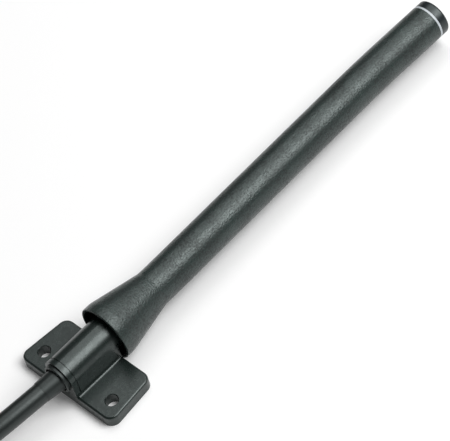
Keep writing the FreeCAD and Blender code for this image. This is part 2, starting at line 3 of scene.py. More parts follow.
import bpy
import numpy as np
from bpy.props import FloatProperty, FloatVectorProperty, IntProperty, PointerProperty
from mathutils import Matrix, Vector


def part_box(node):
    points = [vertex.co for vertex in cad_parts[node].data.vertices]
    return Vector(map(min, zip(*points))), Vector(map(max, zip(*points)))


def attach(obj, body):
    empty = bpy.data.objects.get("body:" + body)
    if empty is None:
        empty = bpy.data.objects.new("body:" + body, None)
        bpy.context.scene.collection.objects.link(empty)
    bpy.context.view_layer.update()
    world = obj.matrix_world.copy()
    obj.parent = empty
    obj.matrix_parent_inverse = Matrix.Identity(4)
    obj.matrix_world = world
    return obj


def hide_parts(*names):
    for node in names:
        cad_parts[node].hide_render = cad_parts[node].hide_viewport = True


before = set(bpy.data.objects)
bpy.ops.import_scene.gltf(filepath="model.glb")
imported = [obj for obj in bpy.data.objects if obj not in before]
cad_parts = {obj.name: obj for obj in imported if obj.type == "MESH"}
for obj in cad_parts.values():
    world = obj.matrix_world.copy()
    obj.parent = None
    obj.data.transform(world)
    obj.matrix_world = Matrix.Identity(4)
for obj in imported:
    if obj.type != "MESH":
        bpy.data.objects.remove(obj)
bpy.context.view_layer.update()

bl_info = {
    "name": "Whip antenna finish",
    "version": (1, 0, 0),
    "blender": (4, 5, 0),
    "location": "3D View > Sidebar > Antenna",
    "description": "Builds the surfaces, threads, cable, tie and stage of a flange-mounted whip antenna",
    "category": "Object",
}

# Lengths are metres in the model's own frame: X along the barrel towards the whip's tip, Z up out
# of the mounting face, and the origin on that face, midway between the two screw holes.
MM = 0.001
UP = np.array([0.0, 0.0, 1.0])


def node_low(node):
    """Lowest corner of a model node."""
    return np.array(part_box(node)[0])


def node_high(node):
    """Highest corner of a model node."""
    return np.array(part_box(node)[1])


# Places that the model gives: the barrel's axis, the ends of the jack, the whip and the bush. The
# radius, the thread's length and the clearances are the ones that the model was made with.
BARREL_RADIUS = 4.5 * MM
AXIS_HEIGHT = node_high("flange_mount")[2] - BARREL_RADIUS
JACK_START, JACK_END = node_low("jack_body")[0], node_high("jack_body")[0]
JACK_FACE = JACK_END - 5.5 * MM
SHELL_START = node_low("whip_shell")[0]
BUSH_FACE = node_low("cable_bush")[0]
MOUTH = node_low("whip_sleeve")[0]
TURN_CLEARANCE = 0.05 * MM
FIT_CLEARANCE = 0.03 * MM

# The plug shell moulded into the bell: where its head, neck and stem start and where it ends, from
# its open end, and the radii of the hollow that holds its head and neck
SHELL_PLACES = np.array([0.0, 5.0, 9.4, 13.9]) * MM
SHELL_HEAD_RADIUS = 4.4 * MM
SHELL_NECK_RADIUS = 3.5 * MM

# Cable end of the mount, and the route from the strain relief down to the oval coil
CABLE_YAW = math.radians(4.0)
CABLE_HEADING = np.array([-math.cos(CABLE_YAW), math.sin(CABLE_YAW), 0.0])
RELIEF_LENGTH = 4.5 * MM
CABLE_EXIT = np.array([BUSH_FACE, 0.0, AXIS_HEIGHT]) + CABLE_HEADING * RELIEF_LENGTH
CABLE_FIRST_RUN = 14.5 * MM
CABLE_RUN = np.array([(-36.2, 4.2, 5.9), (-45.5, 8.5, 3.6), (-53.9, 12.0, 2.95)]) * MM

# Oval coil: the line between the middles of its two folds, and the turns wound round it
COIL_NEAR_X = -62.5 * MM
COIL_STRAIGHT = 64.0 * MM
COIL_CENTRE_Y = -7.0 * MM
COIL_LOW_Z = 3.0 * MM
COIL_POINTS_PER_TURN = 48
# Each turn passes to its next place at one crossover, a little before the one under it: first up
# two rows outside, then across to the inside, and down two rows. A step is (outwards, upwards).
COIL_STEPS = ((0, 1), (0, 1), (-1, 0), (0, -1), (0, -1))
CROSSOVER_START = -0.11
CROSSOVER_SPACING = -0.068
CROSSOVER_HALF_WIDTH = 0.058

# From the coil's lowest inner turn to the plug
COIL_LEAVE_RUN = 5.0 * MM
PLUG_AXIS_HEIGHT = 4.7 * MM
TAIL_RUN = np.array([(-113.4, -21.1, 3.0), (-104.9, -18.3, 3.2), (-96.2, -14.6, 4.0)]) * MM
PLUG_APPROACH = np.array([-87.3 * MM, -11.6 * MM, PLUG_AXIS_HEIGHT])
PLUG_START = np.array([-79.2 * MM, -9.8 * MM, PLUG_AXIS_HEIGHT])
PLUG_YAW = math.atan2(*(PLUG_START - PLUG_APPROACH)[1::-1])
NUT_START = 13.6 * MM

# Radius of the middle of the strap's thickness where it turns round the coil's edges; how far
# before its start its end begins to rise, in what length, and the gap that it then keeps
STRAP_CORNER = 2.775 * MM
STRAP_RISE_LEAD = 3.0 * MM
STRAP_RISE_LENGTH = 2.4 * MM
STRAP_GAP = 0.02 * MM

# The whip leans a little beyond its neck, and bows back three quarters of the way up
LEAN_ANGLE = 1.1
LEAN_START = 16.5 * MM
LEAN_LENGTH = 6.0 * MM
BOW_ANGLE = 2.2
BOW_START = 87.0 * MM
BOW_LENGTH = 12.0 * MM
# Length of the table that sums up the axis, a little more than the whip's, and its steps
AXIS_TABLE_LENGTH = 120.0 * MM
AXIS_TABLE_STEPS = 1200

# The softboxes stand this far from a point in the middle of the object, in these directions
LAMP_AIM = np.array([0.05, 0.0, 0.005])
LAMP_DISTANCE = 1.2
KEY_DIRECTION = (0.346, -0.48, 0.806)
KEY_WIDTH = 0.8
FILL_DIRECTION = (0.35, 0.22, 0.91)
FILL_WIDTH = 0.9

# The floor reaches this far from the middle, and glows a little where it is seen
FLOOR_REACH = 3.0
FLOOR_GLOW = 0.08

# The dark plastics mirror white light a little cooler than it is
COOL_GLOSS = "#f4fffd"
WHITE = "#ffffff"
PTFE_WHITE = "#e9e9e2"

# Edges sharper than this stay sharp in the shading of a new piece
SHARP_ANGLE = math.radians(32)

# A point of an outline is on a radius when it is this close to it
NEAR = 0.05 * MM

# A thread's tooth is a triangle over one pitch, this much taller than its depth and sunk by the
# drop, so that its crest and its root come out flat; it fades over this share of a pitch
TOOTH_GAIN = 1.35
TOOTH_DROP = 0.15
THREAD_FADE = 0.35


def hex_linear(code):
    """An sRGB colour written as #RRGGBB, as the linear RGBA that shaders use."""
    parts = np.array([int(code[i : i + 2], 16) for i in (1, 3, 5)]) / 255
    linear = np.where(parts <= 0.04045, parts / 12.92, ((parts + 0.055) / 1.055) ** 2.4)
    return (*[float(c) for c in linear], 1.0)


def length(label, about, millimetres):
    """A length that the user can change, given in millimetres and kept in metres."""
    return FloatProperty(
        name=label, description=about, default=millimetres * MM, min=0.0, precision=5, unit="LENGTH"
    )


def colour(label, about, code):
    """A colour that the user can change, given as an sRGB hex value."""
    return FloatVectorProperty(
        name=label, description=about, default=hex_linear(code), size=4, min=0.0, max=1.0,
        subtype="COLOR",
    )


class SleeveSettings(bpy.types.PropertyGroup):
    """Sizes of the whip's moulded sleeve."""

    bell_diameter: length("Bell", "Diameter of the bell at its lip", 14.8)
    bell_length: length("Bell length", "From the mouth to the end of the cone", 15.6)
    lip_length: length("Lip", "Straight part of the bell behind its mouth", 2.3)
    shoulder_radius: length("Shoulder", "Radius that rounds the bell into its cone", 7.0)
    neck_radius: length("Neck", "Radius that rounds the cone into the tube", 3.0)
    rim_radius: length("Rim", "Rounding of the mouth's edges", 0.25)
    wall: length("Bell wall", "Wall at the bell's mouth", 0.8)
    cavity_depth: length("Hollow", "Depth of the open mouth", 6.0)
    cavity_end: length("Hollow end", "Diameter at the bottom of the mouth", 11.0)
    tube_diameter: length("Tube", "Outer diameter of the tube", 9.6)
    tube_wall: length("Tube wall", "Wall of the tube", 1.4)
    tube_end: length("Tube end", "From the mouth to the pale ring", 113.85)
    segments: IntProperty(name="Segments", description="Faces around the sleeve", default=128, min=24)


class ThreadSettings(bpy.types.PropertyGroup):
    """Sizes of the quarter-inch coaxial thread."""

    diameter: length("Thread", "Outer diameter of the jack's thread", 6.35)
    pitch: length("Pitch", "From one crest to the next, 36 to the inch", 25.4 / 36)
    depth: length("Depth", "Height of a crest over its root", 0.4)
    nut_flats: length("Nut", "Width of the coupling nut across its flats", 8.0)
    nut_length: length("Nut length", "Length of the coupling nut", 7.6)
    segments: IntProperty(name="Segments", description="Faces around a thread", default=96, min=24)


class CableSettings(bpy.types.PropertyGroup):
    """Sizes of the cable, its oval coil and the strap round it."""

    diameter: length("Cable", "Diameter of the jacket", 5.0)
    total: length("Length", "From the strain relief to the plug's boot", 1400.0)
    fold_radius: length("Fold", "Radius of the coil's folds at the middle of its turns", 17.5)
    strap_width: length("Strap", "Width of the strap", 7.0)
    strap_thickness: length("Strap thickness", "Thickness of the strap", 0.45)
    strap_overlap: length("Overlap", "How far the strap's end lies over its start", 17.0)


class FinishSettings(bpy.types.PropertyGroup):
    """Colours of the antenna's materials."""

    sleeve: colour("Sleeve", "Grained plastic of the whip", "#202927")
    mount: colour("Mount", "Smooth plastic of the flange mount", "#19211f")
    cable: colour("Cable", "Jacket of the cable", "#0f1413")
    bush: colour("Bush", "Soft bush and strain relief", "#121716")
    ring: colour("Ring", "Pale ring near the tip", "#c1c8cd")
    cap: colour("Cap", "Smooth tip cap", "#0f171b")
    strap: colour("Strap", "Hook-and-loop strap", "#17181a")
    gold: colour("Gold plate", "Plating of the jack and the pins", "#d9b266")
    nickel: colour("Nickel plate", "Plating of the plug", "#c3c0b8")


class StageSettings(bpy.types.PropertyGroup):
    """The camera's place, and the strength of the lamps."""

    azimuth: FloatProperty(
        name="Azimuth", description="Turn of the camera round the object", subtype="ANGLE",
        default=math.radians(-33.021),
    )
    elevation: FloatProperty(
        name="Elevation", description="Angle of the camera over the floor", subtype="ANGLE",
        default=math.radians(50.580),
    )
    roll: FloatProperty(
        name="Roll", description="Turn of the picture about the line of sight", subtype="ANGLE",
        default=math.radians(-16.897),
    )
    distance: length("Distance", "From the camera to the point it looks at", 647.739)
    aim: FloatVectorProperty(
        name="Aim", description="The point at the middle of the picture", subtype="XYZ",
        default=(51.898 * MM, 1.574 * MM, 5.055 * MM), unit="LENGTH",
    )
    lens: FloatProperty(name="Lens", description="Focal length in mm over a 36 mm sensor", default=220.0)
    world: FloatProperty(name="Room", description="Strength of the light from all around", default=0.07)
    key: FloatProperty(name="Key", description="Power of the softbox beyond the right ear", default=12.8)
    fill: FloatProperty(name="Fill", description="Power of the wide softbox above", default=5.3)


def node(tree, kind, inputs=None, **settings):
    """Add one shader node, set its properties, and set its inputs or link them to other sockets."""
    made = tree.nodes.new(kind)
    for name, value in settings.items():
        setattr(made, name, value)
    for name, value in (inputs or {}).items():
        if isinstance(value, bpy.types.NodeSocket):
            tree.links.new(value, made.inputs[name])
        else:
            made.inputs[name].default_value = value
    return made


def new_material(name):
    """An empty material and its node tree."""
    made = bpy.data.materials.new(name)
    made.use_nodes = True
    made.node_tree.nodes.clear()
    return made, made.node_tree


def ramp(tree, factor, low, high, start, end):
    """Map a pattern's values from start..end to low..high."""
    wide = {"Value": factor, "From Min": start, "From Max": end, "To Min": low, "To Max": high}
    return node(tree, "ShaderNodeMapRange", wide).outputs["Result"]


def tint(tree, factor, base, darker, lighter):
    """A colour that varies from a darker to a lighter share of the base with a pattern."""
    pair = node(tree, "ShaderNodeMix", {"Factor": factor}, data_type="RGBA")
    for socket, share in ((6, darker), (7, lighter)):
        pair.inputs[socket].default_value = (*[c * share for c in base[:3]], 1.0)
    return pair.outputs[2]


def plastic(name, base, roughness, spread, grain, depth, cloud, ior=1.58, gloss_colour=COOL_GLOSS):
    """Opaque moulded or extruded plastic. grain is the width of its fine pits and depth their
    height, and cloud the width of soft patches. Half the patches' value is added to the pits'; the
    sum varies the shade by spread, and the roughness by a sixth of that the other way. So the shade
    is darker down in the pits and lighter on the tops between them: painted shade in the pits and
    painted glints on the grain, over the patches' tone that differs at random."""
    made, tree = new_material(name)
    place = node(tree, "ShaderNodeTexCoord").outputs["Object"]
    pits = node(tree, "ShaderNodeTexNoise", {"Vector": place, "Scale": 1 / grain, "Detail": 2.0})
    soft = node(tree, "ShaderNodeTexNoise", {"Vector": place, "Scale": 1 / cloud, "Detail": 3.0})
    relief = node(tree, "ShaderNodeBump", {"Height": pits.outputs["Fac"], "Distance": depth})
    both = node(tree, "ShaderNodeMath", {0: soft.outputs["Fac"], 1: 0.5, 2: pits.outputs["Fac"]},
                operation="MULTIPLY_ADD").outputs[0]
    least, most = 0.53, 0.97
    # Painted shade and glints: the base darkens down in the pits and lightens on the tops between them
    shade = tint(tree, ramp(tree, both, 0, 1, least, most), base, 1 - spread, 1 + spread)
    gloss = ramp(tree, both, roughness + spread / 6, roughness - spread / 6, least, most)
    skin = node(tree, "ShaderNodeBsdfPrincipled", {
        "Base Color": shade, "Roughness": gloss, "IOR": ior, "Specular Tint": hex_linear(gloss_colour),
        "Normal": relief.outputs["Normal"],
    })
    node(tree, "ShaderNodeOutputMaterial", {"Surface": skin.outputs["BSDF"]})
    return made


def finish(material, *names):
    """Give a material to carried-over model nodes."""
    for name in names:
        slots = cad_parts[name].data.materials
        slots.clear()
        slots.append(material)


def rounded_outline(corners, arc_steps=10):
    """Points of an outline through corners (distance, radius, rounding): each rounded corner becomes
    an arc that touches its two sides."""
    points = []
    corners = np.array(corners, dtype=float)
    for here, before, after in zip(corners, np.roll(corners, 1, axis=0), np.roll(corners, -1, axis=0)):
        if here[2] == 0:
            points.append(here[None, :2])
            continue
        back, on = before[:2] - here[:2], after[:2] - here[:2]
        back, on = back / np.linalg.norm(back), on / np.linalg.norm(on)
        half_gap = math.acos(float(back @ on)) / 2
        middle = (back + on) / np.linalg.norm(back + on)
        centre = here[:2] + middle * here[2] / math.sin(half_gap)
        sweep = np.linspace(-1, 1, arc_steps + 1)[:, None] * (math.pi / 2 - half_gap)
        side = (on - back) / np.linalg.norm(on - back)
        points.append(centre + here[2] * (side * np.sin(sweep) - middle * np.cos(sweep)))
    return np.vstack(points)


def divided(outline, longest):
    """The same closed outline with points added, so that no stretch is longer than that."""
    ends = np.roll(outline, -1, axis=0)
    counts = np.maximum(1, np.ceil(np.linalg.norm(ends - outline, axis=1) / longest).astype(int))
    start = np.repeat(outline, counts, axis=0)
    step = np.repeat((ends - outline) / counts[:, None], counts, axis=0)
    nth = np.arange(counts.sum()) - np.repeat(np.cumsum(counts) - counts, counts)
    return start + step * nth[:, None]


def straight_axis(start, yaw):
    """Axis that runs level from a point: gives the centres and the sideways directions there."""
    along = np.array([math.cos(yaw), math.sin(yaw), 0.0])
    side = np.array([-math.sin(yaw), math.cos(yaw), 0.0])
    return lambda distance: (start + distance[:, None] * along, np.broadcast_to(side, (len(distance), 3)))


def whip_axis(distance):
    """The whip's axis from the bell's mouth. Its heading grows evenly to a small lean beyond the
    neck, and turns back by the bow three quarters of the way up; the centres sum up the heading."""
    table = np.linspace(0, AXIS_TABLE_LENGTH, AXIS_TABLE_STEPS + 1)
    heading = np.radians(
        LEAN_ANGLE * np.clip((table - LEAN_START) / LEAN_LENGTH, 0, 1)
        - BOW_ANGLE * np.clip((table - BOW_START) / BOW_LENGTH, 0, 1)
    )
    step = table[1] - table[0]
    middle = (heading[1:] + heading[:-1]) / 2
    x = np.append(0, np.cumsum(np.cos(middle) * step))
    y = np.append(0, np.cumsum(np.sin(middle) * step))
    yaw = np.interp(distance, table, heading)
    centre = np.stack([
        MOUTH + np.interp(distance, table, x),
        np.interp(distance, table, y),
        np.full_like(distance, AXIS_HEIGHT),
    ], axis=1)
    return centre, np.stack([-np.sin(yaw), np.cos(yaw), np.zeros_like(yaw)], axis=1)


def carried(outline, axis, segments, radius_at=None):
    """Grid of points of a closed outline carried round an axis. A point stands off from the axis by
    its outline's radius, or by what radius_at makes of that at each distance and angle."""
    centre, side = axis(outline[:, 0])
    angle = np.arange(segments) * 2 * math.pi / segments
    radius = np.repeat(outline[:, 1:2], segments, axis=1)
    if radius_at:
        radius = radius_at(outline[:, 0:1], radius, angle[None, :])
    spoke = side[:, None, :] * np.cos(angle)[None, :, None] + UP * np.sin(angle)[None, :, None]
    return centre[:, None, :] + radius[:, :, None] * spoke


def grid_piece(name, points, material, closed_rows=True, uv=None):
    """A mesh of quads over a grid of points. Columns close on themselves; rows do too, or else the
    first and the last row are closed by flat ends. uv gives lengths along rows and columns."""
    rows, columns = points.shape[:2]
    row = np.arange(rows if closed_rows else rows - 1)[:, None]
    column = np.arange(columns)[None, :]
    next_row, next_column = (row + 1) % rows, (column + 1) % columns
    quads = np.stack([
        row * columns + column, row * columns + next_column,
        next_row * columns + next_column, next_row * columns + column,
    ], axis=-1).reshape(-1, 4)
    faces = quads.tolist()
    if not closed_rows:
        ring = np.arange(columns)
        faces += [ring[::-1].tolist(), (ring + (rows - 1) * columns).tolist()]
    mesh = bpy.data.meshes.new(name)
    mesh.from_pydata(points.reshape(-1, 3), [], faces)
    mesh.polygons.foreach_set("use_smooth", np.ones(len(faces), dtype=bool))
    if uv:
        along, around = uv
        u = np.stack([along[row], along[row], along[row + 1], along[row + 1]], axis=-1)
        v = np.stack([around[column], around[column + 1], around[column + 1], around[column]], axis=-1)
        pairs = np.zeros((len(mesh.loops), 2))
        shape = (len(quads), 4)
        pairs[: 4 * len(quads), 0] = np.broadcast_to(u, (len(row), columns, 4)).reshape(shape).ravel()
        pairs[: 4 * len(quads), 1] = np.broadcast_to(v, (len(row), columns, 4)).reshape(shape).ravel()
        mesh.uv_layers.new(name="UVMap").uv.foreach_set("vector", pairs.ravel())
    mesh.set_sharp_from_angle(angle=SHARP_ANGLE)
    mesh.materials.append(material)
    piece = bpy.data.objects.new(name, mesh)
    bpy.context.scene.collection.objects.link(piece)
    return piece


class ANTENNA_OT_sleeve(bpy.types.Operator):
    """Carry the outline of the bell, cone and tube along the whip's bowed axis"""

    bl_idname = "antenna.sleeve"
    bl_label = "Whip sleeve"

    def execute(self, context):
        size = context.scene.antenna_sleeve
        bell, tube = size.bell_diameter / 2, size.tube_diameter / 2
        bore = tube - size.tube_wall
        neck_start, stem_start = SHELL_START - MOUTH + SHELL_PLACES[1:3]
        outline = rounded_outline([
            (0, bell - size.wall, size.rim_radius),
            (0, bell, size.rim_radius),
            (size.lip_length, bell, size.shoulder_radius),
            (size.bell_length, tube, size.neck_radius),
            (size.tube_end, tube, 0),
            (size.tube_end, bore, 0),
            (stem_start, bore, 0),
            (stem_start, SHELL_NECK_RADIUS, 0),
            (neck_start, SHELL_NECK_RADIUS, 0),
            (neck_start, SHELL_HEAD_RADIUS, 0),
            (size.cavity_depth, SHELL_HEAD_RADIUS, 0),
            (size.cavity_depth, size.cavity_end / 2, 0),
        ])
        points = carried(divided(outline, 1.0 * MM), whip_axis, size.segments)
        # Glass-filled nylon from an etched mould: its grain breaks the light into a soft speckled
        #         streak. Its shade varies strongly with the grain, darker in the pits and lighter on
        #         their tops:
        #         painted shade and painted glints that strengthen the speckle
        material = plastic("moulded_grained_nylon", context.scene.antenna_finish.sleeve,
                           roughness=0.37, spread=0.85, grain=0.42 * MM, depth=0.1 * MM, cloud=6 * MM)
        sleeve = grid_piece("moulded_sleeve", points, material)
        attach(sleeve, "whip")
        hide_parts("whip_sleeve")
        return {"FINISHED"}


class ANTENNA_OT_tip(bpy.types.Operator):
    """Finish the pale ring and the smooth cap at the whip's tip"""

    bl_idname = "antenna.tip"
    bl_label = "Tip"

    def execute(self, context):
        colours = context.scene.antenna_finish
        # Moulded white ABS: even and pale, with a soft gloss that has no colour of its own
        ring = plastic("moulded_white_abs", colours.ring, roughness=0.38, spread=0.06,
                       grain=0.6 * MM, depth=0.004 * MM, cloud=3 * MM, ior=1.54, gloss_colour=WHITE)
        # Nylon from a smooth mould: darker than the grained sleeve, with a clear soft highlight
        cap = plastic("moulded_smooth_nylon", colours.cap, roughness=0.36, spread=0.3,
                      grain=0.5 * MM, depth=0.008 * MM, cloud=3 * MM)
        finish(ring, "indicator_ring")
        finish(cap, "tip_cap")
        return {"FINISHED"}


class ANTENNA_OT_mount(bpy.types.Operator):
    """Finish the flange mount, its bush and the strain relief"""

    bl_idname = "antenna.mount"
    bl_label = "Flange mount"

    def execute(self, context):
        colours = context.scene.antenna_finish
        # ABS with a semi-gloss moulded skin: clear highlights over the barrel and along the edges
        body = plastic("moulded_semi_gloss_abs", colours.mount, roughness=0.3, spread=0.3,
                       grain=0.9 * MM, depth=0.012 * MM, cloud=5 * MM)
        # Soft PVC: duller and darker than the mount, so the bush reads as a ring of its own
        bush = plastic("soft_pvc_bush", colours.bush, roughness=0.45, spread=0.25,
                       grain=0.25 * MM, depth=0.008 * MM, cloud=4 * MM)
        finish(body, "flange_mount")
        finish(bush, "cable_bush", "strain_relief")
        return {"FINISHED"}


def plated(name, base, roughness, yaw, lathe_pitch=0.09 * MM):
    """Metal plated over a turned blank. Fine lathe marks run round the piece's own axis, which
    lies level at the yaw: the pattern is close along it and drawn out forty times across it."""
    made, tree = new_material(name)
    place = node(tree, "ShaderNodeTexCoord").outputs["Object"]
    scale = (1 / lathe_pitch, 1 / (40 * lathe_pitch), 1 / (40 * lathe_pitch))
    turned = node(tree, "ShaderNodeMapping", {"Vector": place, "Rotation": (0, 0, -yaw)})
    drawn = node(tree, "ShaderNodeMapping", {"Vector": turned.outputs[0], "Scale": scale})
    marks = node(tree, "ShaderNodeTexNoise", {"Vector": drawn.outputs[0], "Scale": 1.0, "Detail": 3.0})
    relief = node(tree, "ShaderNodeBump", {"Height": marks.outputs["Fac"], "Distance": 0.002 * MM})
    gloss = ramp(tree, marks.outputs["Fac"], roughness * 0.7, roughness * 1.4, 0.3, 0.7)
    shade = tint(tree, marks.outputs["Fac"], base, 0.92, 1.04)
    skin = node(tree, "ShaderNodeBsdfPrincipled", {
        "Base Color": shade, "Metallic": 1.0, "Roughness": gloss, "Normal": relief.outputs["Normal"],
    })
    node(tree, "ShaderNodeOutputMaterial", {"Surface": skin.outputs["BSDF"]})
    return made


def thread_fade(distance, size, start, end):
    """1 between start and end, falling evenly to 0 at both."""
    return np.clip(np.minimum(distance - start, end - distance) / (THREAD_FADE * size.pitch), 0, 1)


def thread_height(distance, angle, size, start, end):
    """How far a thread stands over its root, from 0 to its depth. Its flanks rise and fall evenly
    with the helix's phase, which grows with the distance and falls with the angle, so that it is
    right-handed; flats cut its crest and root, and it fades in at start and out at end."""
    phase = ((distance - JACK_FACE) / size.pitch - angle / (2 * math.pi)) % 1.0
    tooth = np.clip(np.abs(phase - 0.5) * 2 * TOOTH_GAIN - TOOTH_DROP, 0, 1)
    return size.depth * tooth * thread_fade(distance, size, start, end)


def inner_thread(size, bore, start, end):
    """What makes a bore's radius threaded: the ridges that fill the outer thread's grooves stand
    inwards from it between start and end, and fade in and out there."""

    def threaded(distance, radius, angle):
        inside = (np.abs(radius - bore) < NEAR) & (distance > start) & (distance < end)
        # Ends a metre away leave the outer thread without a fade of its own
        ridge = size.depth - thread_height(distance, angle, size, -1, 1)
        return radius - np.where(inside, ridge * thread_fade(distance, size, start, end), 0)

    return threaded


class ANTENNA_OT_jack(bpy.types.Operator):
    """Turn the jack with its coaxial thread, and finish what it holds"""

    bl_idname = "antenna.jack"
    bl_label = "Jack"

    def execute(self, context):
        size = context.scene.antenna_thread
        colours = context.scene.antenna_finish
        # Thin gold over turned brass: warm and bright, with faint rings from the lathe
        gold = plated("gold_plated_turned_brass", colours.gold, 0.22, 0.0)
        # Bright nickel over turned brass: a warm silver grey, a little softer than the gold
        nickel = plated("nickel_plated_turned_brass", colours.nickel, 0.3, 0.0)
        flange_start, press_start = JACK_FACE - 1.0 * MM, JACK_FACE - 4.2 * MM
        mouth_end = JACK_END - 2.6 * MM
        bore, stem, pressed, flange, mouth = np.array([1.55, 2.5, 3.37, 4.2, 2.3]) * MM
        root = size.diameter / 2 - size.depth
        outline = rounded_outline([
            (JACK_START, bore, 0),
            (JACK_START, stem, 0),
            (press_start, stem, 0),
            (press_start, pressed, 0),
            (flange_start, pressed, 0),
            (flange_start, flange, 0.1 * MM),
            (JACK_FACE, flange, 0.1 * MM),
            (JACK_FACE, root, 0),
            (JACK_END, root, 0.08 * MM),
            (JACK_END, mouth, 0.05 * MM),
            (mouth_end, mouth, 0),
            (mouth_end, bore, 0),
        ], arc_steps=3)
        start, end = JACK_FACE + 0.5 * MM, JACK_END - 0.05 * MM

        def threaded(distance, radius, angle):
            outside = (np.abs(radius - root) < NEAR) & (distance > start)
            return radius + np.where(outside, thread_height(distance, angle, size, start, end), 0)

        axis = straight_axis(np.array([0.0, 0.0, AXIS_HEIGHT]), 0.0)
        points = carried(divided(outline, size.pitch / 14), axis, size.segments, threaded)
        jack = grid_piece("threaded_jack", points, gold)
        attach(jack, "mount")
        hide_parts("jack_body")
        finish(gold, "jack_contact")
        finish(nickel, "jack_ferrule")
        finish(waxy_plastic("turned_ptfe", PTFE_WHITE), "jack_insulator")
        return {"FINISHED"}


def waxy_plastic(name, code):
    """Turned or foamed light plastic: light enters it a little, which gives it a soft waxy look, and
    faint rings 0.15 mm apart stand along X, drawn out round it."""
    made, tree = new_material(name)
    place = node(tree, "ShaderNodeTexCoord").outputs["Object"]
    rings = node(tree, "ShaderNodeMapping", {"Vector": place, "Scale": (1 / (0.15 * MM), 60.0, 60.0)})
    marks = node(tree, "ShaderNodeTexNoise", {"Vector": rings.outputs[0], "Scale": 1.0, "Detail": 2.0})
    relief = node(tree, "ShaderNodeBump", {"Height": marks.outputs["Fac"], "Distance": 0.004 * MM})
    shade = tint(tree, marks.outputs["Fac"], hex_linear(code), 0.94, 1.04)
    skin = node(tree, "ShaderNodeBsdfPrincipled", {
        "Base Color": shade, "Roughness": 0.45, "IOR": 1.38, "Subsurface Weight": 0.15,
        "Subsurface Radius": (0.5 * MM, 0.45 * MM, 0.4 * MM), "Normal": relief.outputs["Normal"],
    })
    node(tree, "ShaderNodeOutputMaterial", {"Surface": skin.outputs["BSDF"]})
    return made


def silicone(name):
    """Moulded silicone rubber: dull brick red, with a faint low gloss."""
    return plastic(name, hex_linear("#8c2a1f"), roughness=0.5, spread=0.15, grain=0.3 * MM,
                   depth=0.004 * MM, cloud=2 * MM, ior=1.41, gloss_colour=WHITE)


class ANTENNA_OT_shell(bpy.types.Operator):
    """Turn the threaded shell moulded into the bell, and finish the seal and pin in it"""

    bl_idname = "antenna.shell"
    bl_label = "Whip's plug"

    def execute(self, context):
        size = context.scene.antenna_thread
        colours = context.scene.antenna_finish
        # Gold over a turned brass shell: a shade duller than the jack, as the thread wears it
        gold = plated("gold_plated_shell", colours.gold, 0.26, 0.0)
        start, neck_start, stem_start, end = SHELL_START + SHELL_PLACES
        neck_end = stem_start - FIT_CLEARANCE
        head_end = neck_start - FIT_CLEARANCE
        bore_end = start + 5.5 * MM
        tip_start = bore_end - 1.9 * MM
        head, neck = SHELL_HEAD_RADIUS - FIT_CLEARANCE, SHELL_NECK_RADIUS - FIT_CLEARANCE
        stem, stem_bore, tip_bore, tip = np.array([2.1, 1.4, 1.95, 2.2]) * MM
        bore = size.diameter / 2 + TURN_CLEARANCE
        outline = rounded_outline([
            (start, bore, 0.1 * MM),
            (start, head, 0.15 * MM),
            (head_end, head, 0),
            (head_end, neck, 0),
            (neck_end, neck, 0),
            (neck_end, stem, 0),
            (end, stem, 0),
            (end, stem_bore, 0),
            (stem_start, stem_bore, 0),
            (stem_start, tip_bore, 0),
            (tip_start, tip_bore, 0),
            (tip_start, tip, 0),
            (bore_end, tip, 0),
            (bore_end, bore, 0),
        ], arc_steps=3)
        threaded = inner_thread(size, bore, start + 0.15 * MM, bore_end - 0.4 * MM)
        axis = straight_axis(np.array([0.0, 0.0, AXIS_HEIGHT]), 0.0)
        points = carried(divided(outline, size.pitch / 14), axis, size.segments, threaded)
        shell = grid_piece("threaded_shell", points, gold)
        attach(shell, "whip")
        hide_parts("whip_shell")
        finish(gold, "whip_pin")
        finish(waxy_plastic("turned_ptfe_bead", PTFE_WHITE), "whip_insulator")
        finish(silicone("moulded_silicone_seal"), "whip_seal")
        return {"FINISHED"}


class ANTENNA_OT_radiator(bpy.types.Operator):
    """Finish the radiating parts inside the tube"""

    bl_idname = "antenna.radiator"
    bl_label = "Radiating parts"

    def execute(self, context):
        # Bare drawn brass: yellower than the gold, with die lines along the tube and the rod
        brass = plated("drawn_brass", hex_linear("#c9a24e"), 0.3, math.pi / 2, 0.06 * MM)
        # Extruded FEP over the braid: clear brown, very smooth and glossy
        jacket = plastic("extruded_fep_jacket", hex_linear("#7d4d26"), roughness=0.3, spread=0.15,
                         grain=0.2 * MM, depth=0.003 * MM, cloud=4 * MM, ior=1.34, gloss_colour=WHITE)
        finish(brass, "dipole_tube", "upper_rod")
        finish(waxy_plastic("turned_feed_insulator", "#e6e6de"), "feed_insulator")
        finish(waxy_plastic("polyethylene_foam", "#dddcd2"), "lower_spacer", "upper_spacer")
        finish(jacket, "feed_coax")
        return {"FINISHED"}


